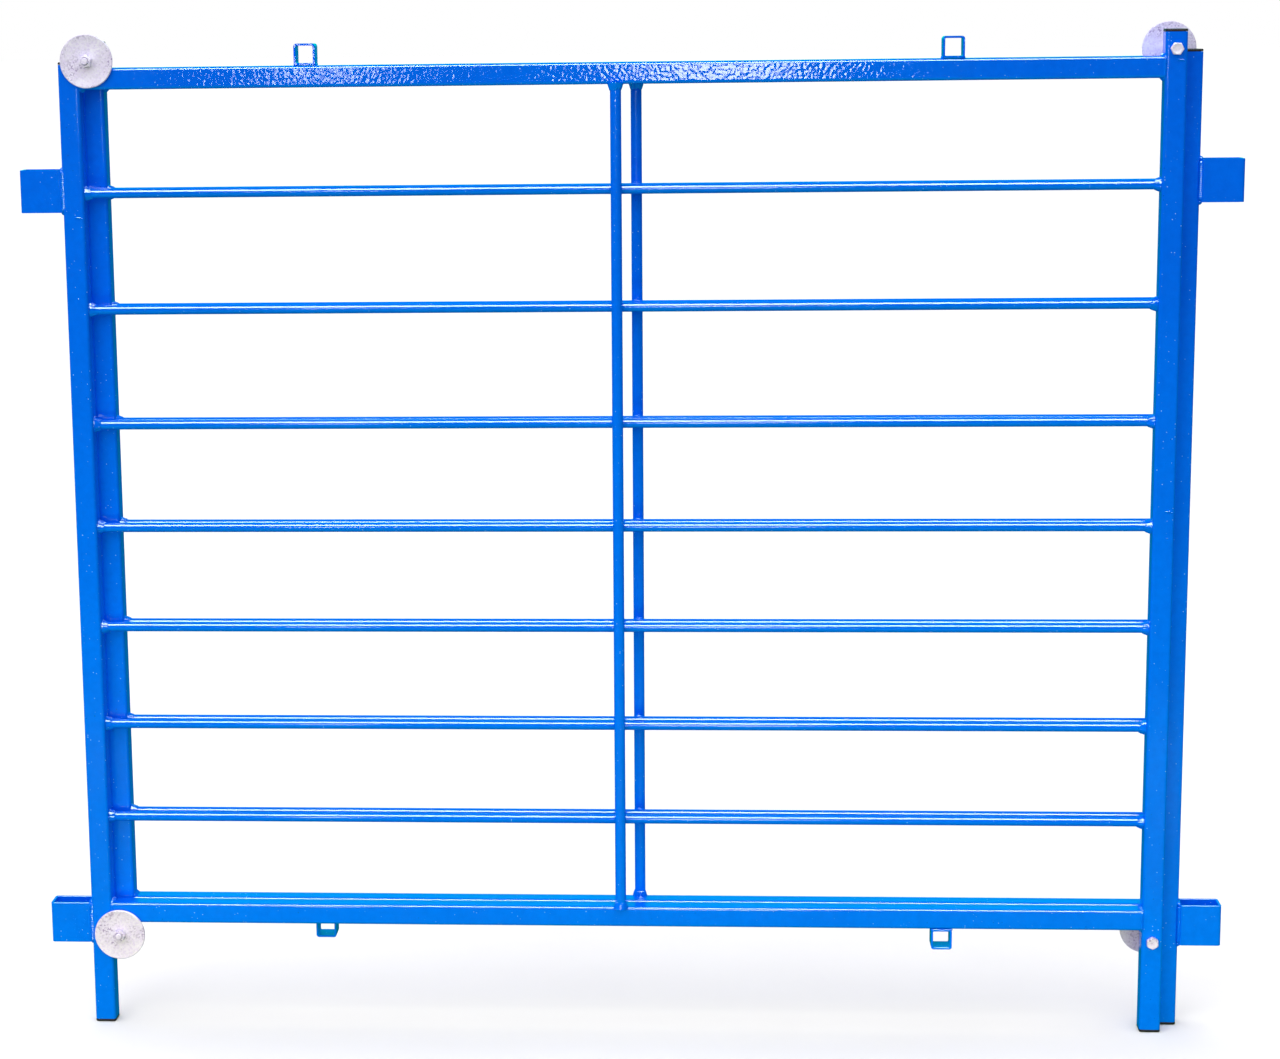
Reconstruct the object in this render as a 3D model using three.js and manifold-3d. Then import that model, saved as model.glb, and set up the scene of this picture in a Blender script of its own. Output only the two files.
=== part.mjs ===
// An extending sheep hurdle: two welded tube panels, one in front of the other.
// Each panel carries two bolts with rollers that run along the other panel's top and
// bottom rails, so the rear panel draws out sideways until the rollers meet the stops.
// Millimetres, +Z up. The front panel faces -Y, the rear panel is the same panel turned
// half round the vertical, and the origin is on the ground at the middle of the closed pair.
import * as THREE from "three";
import { mergeVertices } from "three/addons/utils/BufferGeometryUtils.js";
import Module from "manifold-3d";

const wasm = await Module();
wasm.setup();

// Driving dimensions
const panelWidth = 1300; // over both uprights of one panel
const frameHeight = 1036; // underside of the bottom rail to the top of the top rail
const legLength = 127.5; // ground to the underside of the bottom rail
const tubeSize = 25; // square tube of the uprights, rails and stops
const tubeWall = 2;
const tubeCorner = 3.5; // outer corner radius of the square tube
const panelGap = 2; // between the facing sides of the two panels
const railDiameter = 11.5;
const railOffset = 2.5; // rail axes behind the middle of the tubes, to clear the mid bar
const midBarDiameter = 13;
const railSpaces = [106.5, 116.5, 120.5, 122, 124.5, 137.5, 137.5, 121]; // from the bottom, as shares

const socketWidth = 50;
const socketDepth = 30;
const socketHeight = 50;
const socketWall = 3;
const socketCorner = 4;
const upperSocketDrop = 117.5; // top of the top rail to the top of the upper socket

const stopInset = 263.5; // outer side of the slider upright to the middle of the stops
const stopWall = 2.5;
const stopUprightRise = 7.5; // socket upright above the top rail, to stop the roller

const boltDiameter = 8;
const uprightHoleFit = 1; // hole in the upright over the bolt's diameter
const boreFit = 0.6; // bore of the roller, disc and nut over the bolt's diameter
const headAcrossFlats = 13;
const headHeight = 5.3;
const nutHeight = 6.5;
const boltTip = 3; // thread that shows past the nut
const boltEdge = 22.5; // bolt axis to the end of the slider upright
const rollerDiameter = 14;
const upperRollerPlay = 1; // roller above the other panel's top rail
const lowerRollerPlay = 7; // roller below the other panel's bottom rail
const closedPlay = 3; // roller to the other panel's socket upright when closed
const discDiameter = 62;
const discThickness = 3;
const discEdge = 0.8; // chamfer of the disc's rim
const discClearance = 1.5; // disc to the other panel's outer side

const capFlange = 3;
const capEdge = 1; // bevel round the cap's outer face
const capToBolt = 1.5; // end of the plug to the bolt it stops short of
const capFit = 0.5; // plug to the tube's inner wall
const jointGap = 0.3; // between pieces that touch

// Worked out from them
const bottomRailTop = legLength + tubeSize;
const topRailTop = legLength + frameHeight;
const topRailBottom = topRailTop - tubeSize;
const railLength = panelWidth - 2 * (tubeSize + jointGap);
const railAxisY = tubeSize / 2 + railOffset;
const midBarY = railAxisY - (railDiameter + midBarDiameter) / 2 - jointGap;
const boltX = panelWidth - tubeSize / 2;
const boltHole = boltDiameter + uprightHoleFit;
const bore = boltDiameter + boreFit;
const capPlug = boltEdge - capFlange - boltDiameter / 2 - capToBolt;
const upperBoltZ = topRailTop + upperRollerPlay + rollerDiameter / 2;
const lowerBoltZ = legLength - lowerRollerPlay - rollerDiameter / 2;
const socketUprightTop = topRailTop + stopUprightRise;
const sliderUprightTop = upperBoltZ + boltEdge;
const sliderUprightEnd = lowerBoltZ - boltEdge;
const panelShift = tubeSize / 2 + rollerDiameter / 2 + closedPlay;
const stopX = panelWidth - stopInset;
const rollerStart = tubeSize + jointGap;
const discStart = 2 * tubeSize + panelGap + discClearance;
const nutStart = discStart + discThickness + jointGap;
const boltEnd = nutStart + nutHeight + boltTip;

const cornerSegments = 2; // an arc gets twice as many
const barSegments = 16;
const boreSegments = 20;
const discSegments = 32;

// Materials: each node gets one of its own
const paint = { color: 0x0a6be0, roughness: 0.28, metalness: 0 };
const zinc = { color: 0xd6d7de, roughness: 0.42, metalness: 1 };
const plastic = { color: 0x15151a, roughness: 0.5, metalness: 0 };

// Shapes
function roundedRectangle(width, height, corner, path = new THREE.Shape()) {
  const x = width / 2 - corner;
  const y = height / 2 - corner;
  path.absarc(x, y, corner, 0, Math.PI / 2);
  path.absarc(-x, y, corner, Math.PI / 2, Math.PI);
  path.absarc(-x, -y, corner, Math.PI, 1.5 * Math.PI);
  path.absarc(x, -y, corner, 1.5 * Math.PI, 2 * Math.PI);
  return path;
}

function polygon(sides, radius, turn = 0) {
  const points = [];
  for (let i = 0; i < sides; i += 1) {
    const angle = turn + (2 * Math.PI * i) / sides;
    points.push(new THREE.Vector2(radius * Math.cos(angle), radius * Math.sin(angle)));
  }
  return points;
}

// Everything is extruded along its own +Z, from 0 to its length.
function extrude(shape, length) {
  return new THREE.ExtrudeGeometry(shape, {
    depth: length,
    bevelEnabled: false,
    curveSegments: cornerSegments,
  });
}

function squareTube(width, height, corner, wall, length) {
  const shape = roundedRectangle(width, height, corner);
  const inner = Math.max(corner - wall, wall / 4);
  const hole = roundedRectangle(width - 2 * wall, height - 2 * wall, inner, new THREE.Path());
  shape.holes.push(hole);
  return extrude(shape, length);
}

function ring(sides, outerRadius, boreRadius, length) {
  const shape = new THREE.Shape(polygon(sides, outerRadius));
  shape.holes.push(new THREE.Path(polygon(boreSegments, boreRadius)));
  return extrude(shape, length);
}

function roundBar(diameter, length) {
  return extrude(new THREE.Shape(polygon(barSegments, diameter / 2)), length);
}

function hexagon(acrossFlats) {
  return polygon(6, acrossFlats / Math.sqrt(3));
}

// Round the y axis, so it already runs along +Y
function disc() {
  const inner = bore / 2;
  const rim = discDiameter / 2;
  const profile = [
    new THREE.Vector2(inner, 0),
    new THREE.Vector2(rim - discEdge, 0),
    new THREE.Vector2(rim, discEdge),
    new THREE.Vector2(rim, discThickness - discEdge),
    new THREE.Vector2(rim - discEdge, discThickness),
    new THREE.Vector2(inner, discThickness),
    new THREE.Vector2(inner, 0),
  ];
  return new THREE.LatheGeometry(profile, discSegments);
}

// Booleans
function toSolid(geometry) {
  const bare = geometry.clone();
  bare.deleteAttribute("normal");
  bare.deleteAttribute("uv");
  const merged = mergeVertices(bare, 1e-4);
  return new wasm.Manifold(
    new wasm.Mesh({
      numProp: 3,
      vertProperties: merged.attributes.position.array,
      triVerts: new Uint32Array(merged.index.array),
    }),
  );
}

function toGeometry(solid) {
  const mesh = solid.getMesh();
  const geometry = new THREE.BufferGeometry();
  geometry.setAttribute("position", new THREE.BufferAttribute(mesh.vertProperties, 3));
  geometry.setIndex(new THREE.BufferAttribute(mesh.triVerts, 1));
  geometry.computeVertexNormals();
  return geometry;
}

function join(a, b) {
  return toGeometry(toSolid(a).add(toSolid(b)));
}

function cut(a, b) {
  return toGeometry(toSolid(a).subtract(toSolid(b)));
}

// Placing: turns a piece that was extruded along +Z so that it runs along X or Y
function alongX(geometry) {
  return geometry.rotateY(Math.PI / 2);
}

function alongY(geometry) {
  return geometry.rotateX(-Math.PI / 2);
}

// A plastic cap: a flange over the tube's end and a plug inside it. Its flange faces down.
function endCap() {
  const opening = tubeSize - 2 * tubeWall - 2 * capFit;
  const corner = Math.max(tubeCorner - tubeWall, tubeWall / 4);
  const face = roundedRectangle(tubeSize - 2 * capEdge, tubeSize - 2 * capEdge, tubeCorner - capEdge);
  const flange = new THREE.ExtrudeGeometry(face, {
    depth: capFlange - capEdge,
    bevelThickness: capEdge,
    bevelSize: capEdge,
    bevelSegments: 1,
    curveSegments: cornerSegments,
  }).translate(0, 0, capEdge);
  const above = new THREE.BoxGeometry(2 * tubeSize, 2 * tubeSize, capFlange);
  const flatTopped = cut(flange, above.translate(0, 0, 1.5 * capFlange));
  const plug = extrude(roundedRectangle(opening, opening, corner), capPlug + capFlange / 2);
  return join(flatTopped, plug.translate(0, 0, capFlange / 2));
}

// An upright between two heights, less its caps, drilled where it carries the bolts
function upright(low, high, boltHeights) {
  const start = low + capFlange + jointGap;
  const end = high - capFlange - jointGap;
  let tube = squareTube(tubeSize, tubeSize, tubeCorner, tubeWall, end - start);
  tube.translate(0, 0, start);
  for (const height of boltHeights) {
    const drill = alongY(roundBar(boltHole, 2 * tubeSize));
    tube = cut(tube, drill.translate(0, -tubeSize, height));
  }
  return tube;
}

// A bolt along +Y: its head outside the upright's outer side at 0, its tip past the nut
function bolt() {
  const head = extrude(new THREE.Shape(hexagon(headAcrossFlats)), headHeight);
  const headBack = -headHeight - jointGap;
  const shank = roundBar(boltDiameter, boltEnd + jointGap + headHeight / 2);
  return join(
    alongY(head).translate(0, headBack, 0),
    alongY(shank).translate(0, headBack + headHeight / 2, 0),
  );
}

function nut() {
  const shape = new THREE.Shape(hexagon(headAcrossFlats));
  shape.holes.push(new THREE.Path(polygon(boreSegments, bore / 2)));
  return alongY(extrude(shape, nutHeight));
}

// One panel in its own frame: x from the socket upright's outer side, y from the outer side
// inwards to the other panel, z from the ground.
function panel(name, sliderHasLeg) {
  const group = new THREE.Group();

  function add(piece, geometry, finish, x = 0, y = 0, z = 0) {
    const mesh = new THREE.Mesh(geometry, new THREE.MeshStandardMaterial(finish));
    mesh.name = name + "_" + piece;
    mesh.position.set(x, y, z);
    group.add(mesh);
  }

  const middle = tubeSize / 2;
  const sliderFoot = sliderHasLeg ? 0 : sliderUprightEnd;
  const bolts = { upper: upperBoltZ, lower: lowerBoltZ };

  add("socket_upright", upright(0, socketUprightTop, []), paint, middle, middle);
  add("slider_upright", upright(sliderFoot, sliderUprightTop, Object.values(bolts)), paint, boltX, middle);

  const capEnds = [
    ["socket_upright_foot_cap", middle, 0, false],
    ["socket_upright_top_cap", middle, socketUprightTop, true],
    ["slider_upright_foot_cap", boltX, sliderFoot, false],
    ["slider_upright_top_cap", boltX, sliderUprightTop, true],
  ];
  for (const [piece, x, height, isTop] of capEnds) {
    const cap = isTop ? endCap().rotateX(Math.PI) : endCap();
    add(piece, cap, plastic, x, middle, height);
  }

  const railStart = tubeSize + jointGap;
  for (const [piece, low] of [["bottom_rail", legLength], ["top_rail", topRailBottom]]) {
    const rail = alongX(squareTube(tubeSize, tubeSize, tubeCorner, tubeWall, railLength));
    add(piece, rail, paint, railStart, middle, low + middle);
  }

  const clearHeight = topRailBottom - bottomRailTop;
  const allShares = railSpaces.reduce((sum, share) => sum + share, 0);
  let railZ = bottomRailTop;
  for (let i = 0; i < railSpaces.length - 1; i += 1) {
    railZ += (clearHeight * railSpaces[i]) / allShares;
    add("rail_" + (i + 1), alongX(roundBar(railDiameter, railLength)), paint, railStart, railAxisY, railZ);
  }
  const midBar = roundBar(midBarDiameter, clearHeight - 2 * jointGap);
  add("mid_bar", midBar, paint, panelWidth / 2, midBarY, bottomRailTop + jointGap);

  const socketX = -jointGap - socketWidth / 2;
  const sockets = [
    ["lower_socket", bottomRailTop],
    ["upper_socket", topRailTop - upperSocketDrop],
  ];
  for (const [piece, top] of sockets) {
    const socket = squareTube(socketWidth, socketDepth, socketCorner, socketWall, socketHeight);
    add(piece, socket, paint, socketX, socketDepth / 2, top - socketHeight);
  }

  const stops = [
    ["bottom_stop", legLength - jointGap - middle],
    ["top_stop", topRailTop + jointGap + middle],
  ];
  for (const [piece, height] of stops) {
    const stop = alongY(squareTube(tubeSize, tubeSize, tubeCorner, stopWall, tubeSize));
    add(piece, stop, paint, stopX, 0, height);
  }

  for (const [place, height] of Object.entries(bolts)) {
    const rollerLength = discStart - jointGap - rollerStart;
    const roller = alongY(ring(boreSegments, rollerDiameter / 2, bore / 2, rollerLength));
    add(place + "_bolt", bolt(), zinc, boltX, 0, height);
    add(place + "_roller", roller, zinc, boltX, rollerStart, height);
    add(place + "_disc", disc(), zinc, boltX, discStart, height);
    add(place + "_nut", nut(), zinc, boltX, nutStart, height);
  }

  group.position.set(-(panelWidth + panelShift) / 2, -tubeSize - panelGap / 2, 0);
  return group;
}

const hurdle = new THREE.Group();
hurdle.add(panel("front", true));

const turned = new THREE.Group();
turned.add(panel("rear", false));
turned.rotation.z = Math.PI;
hurdle.add(turned);

export default hurdle;
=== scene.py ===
# An extending livestock hurdle: two welded panels in glossy blue enamel, with zinc plated
# bolts, rollers and discs, and black plastic end caps.
# Metres, +Z up. Pieces are made in their panel's own frame: x from the socket upright's
# outer side, y from the panel's outer side towards the other panel, z from the ground.
import math
import random

import bmesh
import bpy
from mathutils import Matrix, Vector, noise


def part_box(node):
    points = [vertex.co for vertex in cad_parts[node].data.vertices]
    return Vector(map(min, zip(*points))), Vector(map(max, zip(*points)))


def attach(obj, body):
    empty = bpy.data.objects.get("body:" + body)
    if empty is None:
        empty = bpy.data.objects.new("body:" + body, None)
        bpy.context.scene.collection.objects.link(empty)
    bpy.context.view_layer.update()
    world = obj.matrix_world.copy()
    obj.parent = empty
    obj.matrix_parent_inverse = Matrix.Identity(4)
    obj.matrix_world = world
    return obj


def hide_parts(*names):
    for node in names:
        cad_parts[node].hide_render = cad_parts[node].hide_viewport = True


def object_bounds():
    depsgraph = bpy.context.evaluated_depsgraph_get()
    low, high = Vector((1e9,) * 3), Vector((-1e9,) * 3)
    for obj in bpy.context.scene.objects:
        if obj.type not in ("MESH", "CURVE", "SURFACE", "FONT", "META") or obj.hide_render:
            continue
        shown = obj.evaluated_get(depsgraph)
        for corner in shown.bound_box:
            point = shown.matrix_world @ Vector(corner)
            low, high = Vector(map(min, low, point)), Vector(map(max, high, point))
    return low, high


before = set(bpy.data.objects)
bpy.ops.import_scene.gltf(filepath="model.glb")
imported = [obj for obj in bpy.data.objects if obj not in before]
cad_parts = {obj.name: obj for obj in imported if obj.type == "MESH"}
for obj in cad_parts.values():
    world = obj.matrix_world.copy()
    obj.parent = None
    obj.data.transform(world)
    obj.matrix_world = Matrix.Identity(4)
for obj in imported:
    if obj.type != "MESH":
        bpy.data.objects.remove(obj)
cad_low, cad_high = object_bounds()

MM = 0.001
PANELS = ("front", "rear")
BOLTS = ("upper", "lower")
RAIL_COUNT = 7
MIDDLE_RAIL = 4

# Tube and bar
TUBE_CORNER = 3.5 * MM
TUBE_WALL = 2 * MM
SOCKET_CORNER = 4 * MM
SOCKET_WALL = 3 * MM
STOP_WALL = 2.5 * MM
SAWN_EDGE = 0.35 * MM
CORNER_STEPS = 7
FLAT_LEAD = 0.4 * MM  # the last of a flat side before its corner, so that it shades flat
BAR_SIDES = 40

# Bolts, nuts, rollers and discs
BOLT_RADIUS = 4 * MM
BORE_RADIUS = 4.3 * MM
HEAD_HEIGHT = 5.3 * MM
NUT_HEIGHT = 6.5 * MM
ACROSS_FLATS = 13 * MM
WASHER_FACE = 0.5 * MM
HEX_STEPS = 12  # points along each side of a hexagon
HEX_CHAMFER = math.radians(30)
CROWN_RADIUS = 0.97 * ACROSS_FLATS / 2  # where the chamfer starts
HEAD_DISH = 0.15 * MM  # how far a bolt head's middle is pressed in
BORE_SINK = 0.5 * MM
THREAD_PITCH = 1.25 * MM
THREAD_DEPTH = 0.45 * MM
THREAD_SIDES = 36
THREAD_STEPS = 8  # rings for each turn of the thread
THREAD_SHOWN = 3 * MM  # how far the thread starts before its nut
TIP_CHAMFER = 0.9 * MM
ROLLER_EDGE = 0.6 * MM
ROLLER_SIDES = 48
DISC_EDGE = 0.8 * MM
DISC_DISH = 0.12 * MM  # how far a disc's face lies below its rim and its middle
DISC_SIDES = 96
HEAD_TURNS = {"upper": math.radians(26), "lower": math.radians(3)}
NUT_TURNS = {"upper": math.radians(12), "lower": math.radians(20)}

# Caps
CAP_FLANGE = 3 * MM
CAP_EDGE = 1 * MM
CAP_CROWN = 0.25 * MM
CAP_STEPS = 6
CAP_PLUG = 9 * MM
CAP_FIT = 0.5 * MM
CAP_LEAD = 1.5 * MM  # the tapered end of the plug
CAP_TAPER = 0.8 * MM
FLANGE_EDGE = 0.25 * MM

# Welds. Radii are those of a bead's round section, most of which lies in the tubes
BEAD_SIDES = 10
BEAD_STEP = 0.45 * MM
RIPPLE_PITCH = 2.3 * MM
RIPPLE_DEPTH = 0.14
DEEP_RIPPLE = 0.22
BEAD_UNEVEN = 0.09
SEAM_RADIUS = 2.2 * MM
SEAM_PROUD = 1.1 * MM  # how far a seam stands out of the face
SLIDE_PROUD = 0.5 * MM  # the same on the side where the other panel slides past
SEAM_START = 1.2 * MM  # how far in from a corner a seam starts
SEAM_STOP = 1.8 * MM  # how far before a tube's back a bead in a corner stops
GAP_MIDDLE = 0.15 * MM  # the middle of the gap between a rail's end and its upright
FILLET_RADIUS = 5.2 * MM  # the fillets in the corners above and below a rail
FILLET_SINK = 1.3 * MM
SOCKET_SEAM_RADIUS = 2.5 * MM
SOCKET_SEAM_RIPPLE = 0.3
SOCKET_SEAM_STEPS = 14
SOCKET_SEAM_WANDER = 0.5 * MM
SOCKET_BACK_RADIUS = 2.4 * MM
RETURN_RADIUS = 3.4 * MM  # where a socket's seam turns round its ends
STOP_RADIUS = 2.0 * MM
STOP_SINK = 0.9 * MM
CROSSING_RADIUS = 2.8 * MM
CROSSING_LEVEL = 4.0 * MM  # above and below a rail's middle
CROSSING_HALF = 4.5 * MM
CROSSING_STEPS = 6
CROSSING_FORWARD = 0.4 * MM  # before the middle of the two bars
TACK_RADIUS = 1.4 * MM
TACK_LENGTH = 8 * MM
TACK_SINK = 0.3 * MM
TAIL_LENGTH = 2.4 * MM
COLLAR_SIDES = 64
COLLAR_STEPS = 9
COLLAR_SINK = 0.3 * MM  # how far a collar's foot lies in the face
RAIL_COLLAR = {"reach": 3.3 * MM, "height": 7.5 * MM}
MID_BAR_COLLAR = {"reach": 2.6 * MM, "height": 7 * MM, "sag": 2.5 * MM}
DROP_SIZES = (0.3 * MM, 0.35 * MM, 0.4 * MM, 0.5 * MM, 0.7 * MM)
DROP_SIDES = 9

# Directions in a panel's own frame
OUTWARDS = Vector((0, -1, 0))
INWARDS = Vector((0, 1, 0))

AXES = {
    "x": (Vector((1, 0, 0)), Vector((0, 1, 0)), Vector((0, 0, 1))),
    "y": (Vector((0, 1, 0)), Vector((0, 0, 1)), Vector((1, 0, 0))),
    "z": (Vector((0, 0, 1)), Vector((1, 0, 0)), Vector((0, 1, 0))),
}


# Places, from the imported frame
def panel_frame(panel):
    """The matrix from a panel's own frame to the model's: the rear panel is turned half round."""
    turn = Matrix.Rotation(math.pi if panel == "rear" else 0, 4, "Z")
    corners = [turn.inverted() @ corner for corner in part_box(f"{panel}_socket_upright")]
    low = Vector(map(min, *corners))
    return turn @ Matrix.Translation((low.x, low.y, 0))


place = {panel: panel_frame(panel) for panel in PANELS}


def local_box(panel, piece):
    """A CAD piece's lowest and highest corner, in its panel's own frame."""
    corners = [place[panel].inverted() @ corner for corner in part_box(f"{panel}_{piece}")]
    return Vector(map(min, *corners)), Vector(map(max, *corners))


def local_middle(panel, piece):
    low, high = local_box(panel, piece)
    return (low + high) / 2


# Shapes
class Shape:
    """Points and faces gathered for one mesh."""

    def __init__(self):
        self.points = []
        self.faces = []

    def loft(self, rings, closed=False):
        """Rings with equally many points, joined in order and closed to a loop or capped."""
        start = len(self.points)
        count = len(rings[0])
        for ring in rings:
            self.points.extend(ring)
        for row in range(len(rings) if closed else len(rings) - 1):
            here = start + row * count
            there = start + (row + 1) % len(rings) * count
            for i in range(count):
                j = (i + 1) % count
                self.faces.append((here + i, here + j, there + j, there + i))
        if not closed:
            last = start + (len(rings) - 1) * count
            self.faces.append(tuple(range(start + count - 1, start - 1, -1)))
            self.faces.append(tuple(range(last, last + count)))


def rounded_outline(width, height, corner):
    """A rounded rectangle as flat points, with a point close to each end of its flat sides."""
    points = []
    for quarter in range(4):
        sign_u = 1 if quarter in (0, 3) else -1
        sign_v = 1 if quarter in (0, 1) else -1
        centre_u = sign_u * (width / 2 - corner)
        centre_v = sign_v * (height / 2 - corner)
        begin = quarter * math.pi / 2
        lead_in = (math.sin(begin) * FLAT_LEAD, -math.cos(begin) * FLAT_LEAD)
        arc = []
        for step in range(CORNER_STEPS + 1):
            angle = begin + step / CORNER_STEPS * math.pi / 2
            arc.append((centre_u + corner * math.cos(angle), centre_v + corner * math.sin(angle)))
        end = begin + math.pi / 2
        lead_out = (-math.sin(end) * FLAT_LEAD, math.cos(end) * FLAT_LEAD)
        points.append((arc[0][0] + lead_in[0], arc[0][1] + lead_in[1]))
        points.extend(arc)
        points.append((arc[-1][0] + lead_out[0], arc[-1][1] + lead_out[1]))
    return points


def circle(radius, sides):
    turns = [2 * math.pi * i / sides for i in range(sides)]
    return [(radius * math.cos(turn), radius * math.sin(turn)) for turn in turns]


def set_square(outline, axis, centre, distance):
    """A flat outline as points in space, square to an axis and at a distance along it."""
    along, across, up = AXES[axis]
    base = centre - along * centre.dot(along) + along * distance
    return [base + across * u + up * v for u, v in outline]


def add_tube(shape, box, axis, corner, wall):
    """A hollow rectangular tube that fills a box, with both sawn ends slightly eased."""
    low, high = box
    along, across, up = AXES[axis]
    size = high - low
    centre = (low + high) / 2
    start, end = low.dot(along), high.dot(along)

    def ring(inset, distance):
        inner_corner = max(corner - inset, corner / 4)
        width = across.dot(size) - 2 * inset
        height = up.dot(size) - 2 * inset
        return set_square(rounded_outline(width, height, inner_corner), axis, centre, distance)

    shape.loft(
        [
            ring(SAWN_EDGE, start),
            ring(0, start + SAWN_EDGE),
            ring(0, end - SAWN_EDGE),
            ring(SAWN_EDGE, end),
            ring(wall - SAWN_EDGE, end),
            ring(wall, end - SAWN_EDGE),
            ring(wall, start + SAWN_EDGE),
            ring(wall - SAWN_EDGE, start),
        ],
        closed=True,
    )


def add_turned(shape, profile, axis, centre, sides, closed=False):
    """A turned piece: its profile is pairs of distance along the axis and radius."""
    rings = [set_square(circle(r, sides), axis, centre, d) for d, r in profile]
    shape.loft(rings, closed)


def add_bar(shape, box, axis):
    """A round bar that fills a box."""
    low, high = box
    along, across, _ = AXES[axis]
    radius = across.dot(high - low) / 2
    start, end = low.dot(along), high.dot(along)
    profile = [
        (start, radius - SAWN_EDGE),
        (start + SAWN_EDGE, radius),
        (end - SAWN_EDGE, radius),
        (end, radius - SAWN_EDGE),
    ]
    add_turned(shape, profile, axis, (low + high) / 2, BAR_SIDES)


def hexagon():
    """A hexagon as (radius, angle) pairs, with points along its sides."""
    pairs = []
    for i in range(6 * HEX_STEPS):
        angle = 2 * math.pi * i / (6 * HEX_STEPS)
        from_flat = (angle + math.pi / 6) % (math.pi / 3) - math.pi / 6
        pairs.append((ACROSS_FLATS / 2 / math.cos(from_flat), angle))
    return pairs


def hex_ring(centre, distance, facing, chamfered, turn, limit=None):
    """One ring round a hexagon on the y axis, drawn down its corners where it is chamfered."""
    points = []
    for radius, angle in hexagon():
        fall = (radius - CROWN_RADIUS) * math.tan(HEX_CHAMFER) if chamfered else 0
        reach = radius if limit is None else min(radius, limit)
        x = centre.x + reach * math.cos(angle + turn)
        z = centre.z + reach * math.sin(angle + turn)
        points.append(Vector((x, distance - facing * fall, z)))
    return points


def add_hex_head(shape, centre, seat, height, facing, turn):
    """A bolt head: a washer face at its seat, flats, and a chamfered crown."""
    crown = CROWN_RADIUS
    top = seat + facing * height
    washer_top = seat + facing * WASHER_FACE
    dish = top - facing * HEAD_DISH
    shape.loft(
        [
            hex_ring(centre, seat, facing, False, turn, crown * 0.6),
            hex_ring(centre, seat, facing, False, turn, crown * 0.98),
            hex_ring(centre, washer_top, facing, False, turn, crown * 0.98),
            hex_ring(centre, washer_top, facing, False, turn),
            hex_ring(centre, top, facing, True, turn),
            hex_ring(centre, top, facing, False, turn, crown),
            hex_ring(centre, top, facing, False, turn, crown * 0.82),
            hex_ring(centre, dish, facing, False, turn, crown * 0.78),
            hex_ring(centre, dish, facing, False, turn, crown * 0.2),
        ]
    )


def add_nut(shape, centre, start, turn):
    """A nut on the y axis, chamfered on both faces, with a countersunk bore."""
    end = start + NUT_HEIGHT
    mouth = BORE_RADIUS + BORE_SINK
    shape.loft(
        [
            hex_ring(centre, start + BORE_SINK, -1, False, turn, BORE_RADIUS),
            hex_ring(centre, start, -1, False, turn, mouth),
            hex_ring(centre, start, -1, False, turn, CROWN_RADIUS),
            hex_ring(centre, start, -1, True, turn),
            hex_ring(centre, end, 1, True, turn),
            hex_ring(centre, end, 1, False, turn, CROWN_RADIUS),
            hex_ring(centre, end, 1, False, turn, mouth),
            hex_ring(centre, end - BORE_SINK, 1, False, turn, BORE_RADIUS),
        ],
        closed=True,
    )


def add_shank(shape, centre, start, thread_start, end):
    """A bolt's plain shank, and its thread as a ridge that winds up to the chamfered tip."""
    step = THREAD_PITCH / THREAD_STEPS
    distances = [start, thread_start - step]
    while distances[-1] + step < end:
        distances.append(distances[-1] + step)
    distances.append(end)
    rings = []
    for distance in distances:
        ring = []
        to_end = end - distance
        for i in range(THREAD_SIDES):
            turn = i / THREAD_SIDES
            wave = abs(2 * ((distance / THREAD_PITCH - turn) % 1) - 1)
            depth = THREAD_DEPTH * wave if distance >= thread_start else 0
            radius = min(BOLT_RADIUS - depth, BOLT_RADIUS - TIP_CHAMFER + to_end)
            angle = 2 * math.pi * turn
            offset = Vector((radius * math.cos(angle), 0, radius * math.sin(angle)))
            ring.append(Vector((centre.x, distance, centre.z)) + offset)
        rings.append(ring)
    shape.loft(rings)


def add_cap(shape, box, facing):
    """An end cap: a flange with rounded edges and a slight crown, and the plug behind it."""
    low, high = box
    centre = (low + high) / 2
    width = high.x - low.x
    outer = high.z if facing > 0 else low.z

    def ring(inset, depth, corner=TUBE_CORNER):
        size = width - 2 * inset
        outline = rounded_outline(size, size, max(corner - inset, 0.6 * MM))
        return set_square(outline, "z", centre, outer - facing * depth)

    plug = TUBE_WALL + CAP_FIT
    rings = [
        ring(plug + CAP_TAPER, CAP_PLUG),
        ring(plug, CAP_PLUG - CAP_LEAD),
        ring(plug, CAP_FLANGE),
        ring(FLANGE_EDGE, CAP_FLANGE),
        ring(0, CAP_FLANGE - FLANGE_EDGE),
    ]
    for step in range(CAP_STEPS + 1):
        angle = step / CAP_STEPS * math.pi / 2
        inset = CAP_EDGE * (1 - math.cos(angle))
        depth = CAP_CROWN + CAP_EDGE * (1 - math.sin(angle))
        rings.append(ring(inset, depth))
    for share in (0.35, 0.7, 0.95):
        inset = CAP_EDGE + share * (width / 2 - CAP_EDGE)
        rings.append(ring(inset, CAP_CROWN * (1 - math.sin(share * math.pi / 2))))
    shape.loft(rings)


# Welds
def resampled(path, step):
    """A path of points as equal steps."""
    spans = [(b - a).length for a, b in zip(path, path[1:])]
    total = sum(spans)
    count = max(4, round(total / step))
    points = []
    index = 0
    passed = 0
    for i in range(count + 1):
        wanted = total * i / count
        while index < len(spans) - 1 and passed + spans[index] < wanted:
            passed += spans[index]
            index += 1
        share = (wanted - passed) / spans[index]
        points.append(path[index].lerp(path[index + 1], min(share, 1)))
    return points, total / count


def random_offset(chance):
    """A place of its own in the noise for each weld."""
    return Vector((chance.uniform(0, 90), chance.uniform(0, 90), chance.uniform(0, 90)))


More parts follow.
